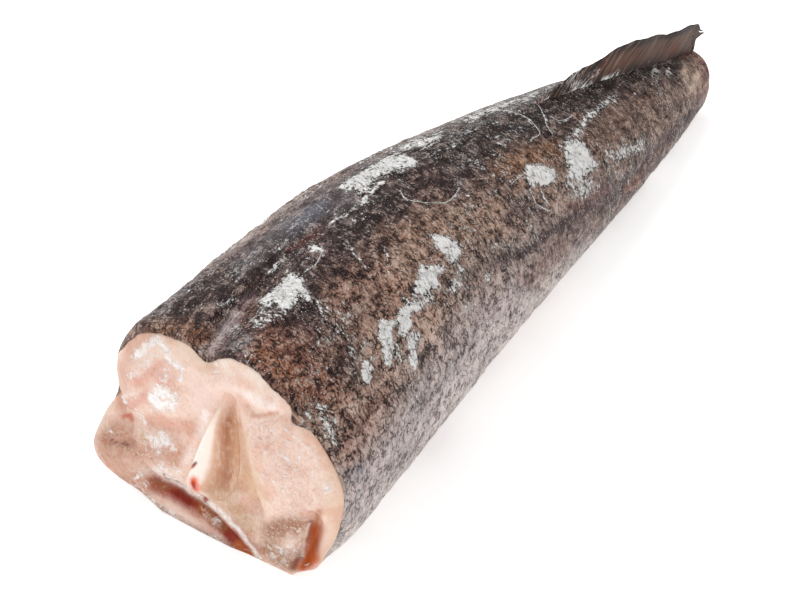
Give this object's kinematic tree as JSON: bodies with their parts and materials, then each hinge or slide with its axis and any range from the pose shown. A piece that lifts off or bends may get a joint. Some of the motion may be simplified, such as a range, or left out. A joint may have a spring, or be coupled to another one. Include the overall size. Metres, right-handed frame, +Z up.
{
  "type": "frozen headless hake",
  "caption": "Headed, gutted frozen hake lying on its flat belly, with dark frosted skin, pale cut flesh, the backbone's end and a rear back fin.",
  "frame": {"origin": "middle of the footprint, on the surface that the belly rests on", "axes": "+Y from the head cut to the tail, +X towards the flank that the picture shows, +Z up"},
  "size_m": [0.1, 0.3568, 0.0793],
  "materials": {
    "skin": "wet frozen skin with fine scales",
    "flesh": "translucent raw flesh under thin ice",
    "bone": "pale gristly bone",
    "fin": "thin dried web with rays",
    "frost": "rough rime frost"
  },
  "bodies": {
    "root": {"body": "skin", "backbone": "bone", "dorsal_fin": "fin"}
  },
  "joints": []
}
